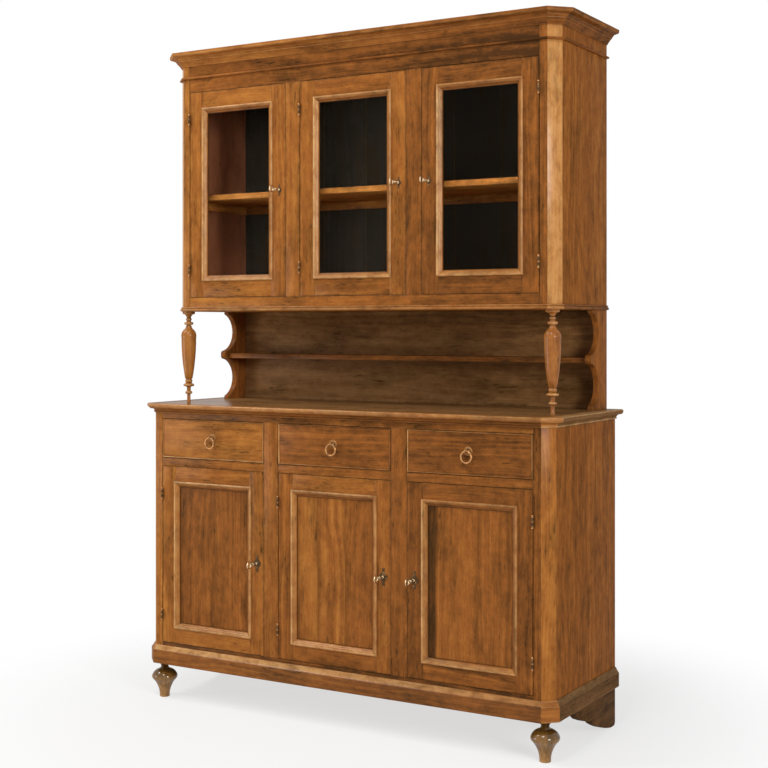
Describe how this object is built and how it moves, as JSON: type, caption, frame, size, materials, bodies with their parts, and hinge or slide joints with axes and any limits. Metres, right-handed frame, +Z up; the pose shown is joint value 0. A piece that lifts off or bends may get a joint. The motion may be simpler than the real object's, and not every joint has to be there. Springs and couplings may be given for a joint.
{
  "type": "dresser with hutch",
  "caption": "Country dresser of stained wood: drawers over panelled cupboards, open niche with turned columns, and a glazed hutch with moulded cornice.",
  "frame": {"origin": "on the floor, in the middle of the footprint box (back of the dresser to the tips of the keys)", "axes": "+X to the right seen from the front, +Y to the back, +Z up; the front faces -Y"},
  "size_m": [1.5438, 0.551, 2.2],
  "materials": {
    "stained_wood": "satin varnish",
    "dark_wood": "dark stain, dull",
    "clear_glass": "polished",
    "aged_brass": "aged",
    "steel": "filed"
  },
  "bodies": {
    "dresser_carcass": {"base_side_panels": "stained_wood", "base_face_frame": "stained_wood", "base_partitions_and_shelves": "stained_wood", "drawer_runners": "stained_wood", "base_floor": "stained_wood", "base_back_boards": "stained_wood", "plinth_moulding": "stained_wood", "front_feet": "stained_wood", "rear_bracket_feet": "stained_wood", "worktop": "stained_wood", "niche_columns": "stained_wood", "niche_side_brackets": "stained_wood", "niche_back_panel": "stained_wood", "niche_shelf": "stained_wood", "hutch_side_panels": "stained_wood", "hutch_face_frame": "stained_wood", "hutch_floor_and_top": "stained_wood", "hutch_back_boards": "dark_wood", "hutch_shelf": "stained_wood", "cornice_and_beads": "stained_wood", "fixed_hinge_halves": "aged_brass"},
    "hutch_left_door": {"hutch_left_door_frame": "stained_wood", "hutch_left_door_glass": "clear_glass", "hutch_left_door_fittings": "aged_brass"},
    "hutch_left_bolt": {"hutch_left_bolt": "steel"},
    "hutch_left_key": {"hutch_left_key": "aged_brass"},
    "hutch_centre_door": {"hutch_centre_door_frame": "stained_wood", "hutch_centre_door_glass": "clear_glass", "hutch_centre_door_fittings": "aged_brass"},
    "hutch_centre_bolt": {"hutch_centre_bolt": "steel"},
    "hutch_centre_key": {"hutch_centre_key": "aged_brass"},
    "hutch_right_door": {"hutch_right_door_frame": "stained_wood", "hutch_right_door_glass": "clear_glass", "hutch_right_door_fittings": "aged_brass"},
    "hutch_right_bolt": {"hutch_right_bolt": "steel"},
    "hutch_right_key": {"hutch_right_key": "aged_brass"},
    "base_left_door": {"base_left_door_frame": "stained_wood", "base_left_door_panel": "stained_wood", "base_left_door_fittings": "aged_brass"},
    "base_left_bolt": {"base_left_bolt": "steel"},
    "base_left_key": {"base_left_key": "aged_brass"},
    "base_centre_door": {"base_centre_door_frame": "stained_wood", "base_centre_door_panel": "stained_wood", "base_centre_door_fittings": "aged_brass"},
    "base_centre_bolt": {"base_centre_bolt": "steel"},
    "base_centre_key": {"base_centre_key": "aged_brass"},
    "base_right_door": {"base_right_door_frame": "stained_wood", "base_right_door_panel": "stained_wood", "base_right_door_fittings": "aged_brass"},
    "base_right_bolt": {"base_right_bolt": "steel"},
    "base_right_key": {"base_right_key": "aged_brass"},
    "left_drawer": {"left_drawer_box": "stained_wood", "left_drawer_rosette": "aged_brass"},
    "left_ring": {"left_drawer_ring": "aged_brass"},
    "centre_drawer": {"centre_drawer_box": "stained_wood", "centre_drawer_rosette": "aged_brass"},
    "centre_ring": {"centre_drawer_ring": "aged_brass"},
    "right_drawer": {"right_drawer_box": "stained_wood", "right_drawer_rosette": "aged_brass"},
    "right_ring": {"right_drawer_ring": "aged_brass"}
  },
  "joints": [
    {"name": "hutch_left_door_swing", "type": "hinge", "parent": "dresser_carcass", "child": "hutch_left_door", "pos_m": [-0.65575, -0.1142, 1.7135], "axis": [0, 0, -1], "range_deg": [0, 105]},
    {"name": "hutch_left_key_turn", "type": "hinge", "parent": "hutch_left_door", "child": "hutch_left_key", "pos_m": [-0.282, -0.1095, 1.7135], "axis": [0, 1, 0], "range_deg": [0, 180]},
    {"name": "hutch_left_bolt_throw", "type": "slide", "parent": "hutch_left_door", "child": "hutch_left_bolt", "axis": [1, 0, 0], "range_m": [0, 0.008]},
    {"name": "hutch_centre_door_swing", "type": "hinge", "parent": "dresser_carcass", "child": "hutch_centre_door", "pos_m": [-0.19975, -0.1142, 1.7135], "axis": [0, 0, -1], "range_deg": [0, 105]},
    {"name": "hutch_centre_key_turn", "type": "hinge", "parent": "hutch_centre_door", "child": "hutch_centre_key", "pos_m": [0.174, -0.1095, 1.7135], "axis": [0, 1, 0], "range_deg": [0, 180]},
    {"name": "hutch_centre_bolt_throw", "type": "slide", "parent": "hutch_centre_door", "child": "hutch_centre_bolt", "axis": [1, 0, 0], "range_m": [0, 0.008]},
    {"name": "hutch_right_door_swing", "type": "hinge", "parent": "dresser_carcass", "child": "hutch_right_door", "pos_m": [0.65575, -0.1142, 1.7135], "axis": [0, 0, 1], "range_deg": [0, 105]},
    {"name": "hutch_right_key_turn", "type": "hinge", "parent": "hutch_right_door", "child": "hutch_right_key", "pos_m": [0.282, -0.1095, 1.7135], "axis": [0, -1, 0], "range_deg": [0, 180]},
    {"name": "hutch_right_bolt_throw", "type": "slide", "parent": "hutch_right_door", "child": "hutch_right_bolt", "axis": [-1, 0, 0], "range_m": [0, 0.008]},
    {"name": "base_left_door_swing", "type": "hinge", "parent": "dresser_carcass", "child": "base_left_door", "pos_m": [-0.68525, -0.2232, 0.4935], "axis": [0, 0, -1], "range_deg": [0, 105]},
    {"name": "base_left_key_turn", "type": "hinge", "parent": "base_left_door", "child": "base_left_key", "pos_m": [-0.2925, -0.2185, 0.4935], "axis": [0, 1, 0], "range_deg": [0, 180]},
    {"name": "base_left_bolt_throw", "type": "slide", "parent": "base_left_door", "child": "base_left_bolt", "axis": [1, 0, 0], "range_m": [0, 0.008]},
    {"name": "base_centre_door_swing", "type": "hinge", "parent": "dresser_carcass", "child": "base_centre_door", "pos_m": [-0.20925, -0.2232, 0.4935], "axis": [0, 0, -1], "range_deg": [0, 105]},
    {"name": "base_centre_key_turn", "type": "hinge", "parent": "base_centre_door", "child": "base_centre_key", "pos_m": [0.1835, -0.2185, 0.4935], "axis": [0, 1, 0], "range_deg": [0, 180]},
    {"name": "base_centre_bolt_throw", "type": "slide", "parent": "base_centre_door", "child": "base_centre_bolt", "axis": [1, 0, 0], "range_m": [0, 0.008]},
    {"name": "base_right_door_swing", "type": "hinge", "parent": "dresser_carcass", "child": "base_right_door", "pos_m": [0.68525, -0.2232, 0.4935], "axis": [0, 0, 1], "range_deg": [0, 105]},
    {"name": "base_right_key_turn", "type": "hinge", "parent": "base_right_door", "child": "base_right_key", "pos_m": [0.2925, -0.2185, 0.4935], "axis": [0, -1, 0], "range_deg": [0, 180]},
    {"name": "base_right_bolt_throw", "type": "slide", "parent": "base_right_door", "child": "base_right_bolt", "axis": [-1, 0, 0], "range_m": [0, 0.008]},
    {"name": "left_drawer_slide", "type": "slide", "parent": "dresser_carcass", "child": "left_drawer", "axis": [0, -1, 0], "range_m": [0, 0.3]},
    {"name": "left_ring_swing", "type": "hinge", "parent": "left_drawer", "child": "left_ring", "pos_m": [-0.476, -0.233, 0.893], "axis": [-1, 0, 0], "range_deg": [-15, 160]},
    {"name": "centre_drawer_slide", "type": "slide", "parent": "dresser_carcass", "child": "centre_drawer", "axis": [0, -1, 0], "range_m": [0, 0.3]},
    {"name": "centre_ring_swing", "type": "hinge", "parent": "centre_drawer", "child": "centre_ring", "pos_m": [0, -0.233, 0.893], "axis": [-1, 0, 0], "range_deg": [-15, 160]},
    {"name": "right_drawer_slide", "type": "slide", "parent": "dresser_carcass", "child": "right_drawer", "axis": [0, -1, 0], "range_m": [0, 0.3]},
    {"name": "right_ring_swing", "type": "hinge", "parent": "right_drawer", "child": "right_ring", "pos_m": [0.476, -0.233, 0.893], "axis": [-1, 0, 0], "range_deg": [-15, 160]}
  ],
  "couplings": [
    {"joint": "hutch_left_bolt_throw", "follows": "hutch_left_key_turn", "m_per_rad": 0.002546},
    {"joint": "hutch_centre_bolt_throw", "follows": "hutch_centre_key_turn", "m_per_rad": 0.002546},
    {"joint": "hutch_right_bolt_throw", "follows": "hutch_right_key_turn", "m_per_rad": 0.002546},
    {"joint": "base_left_bolt_throw", "follows": "base_left_key_turn", "m_per_rad": 0.002546},
    {"joint": "base_centre_bolt_throw", "follows": "base_centre_key_turn", "m_per_rad": 0.002546},
    {"joint": "base_right_bolt_throw", "follows": "base_right_key_turn", "m_per_rad": 0.002546}
  ]
}
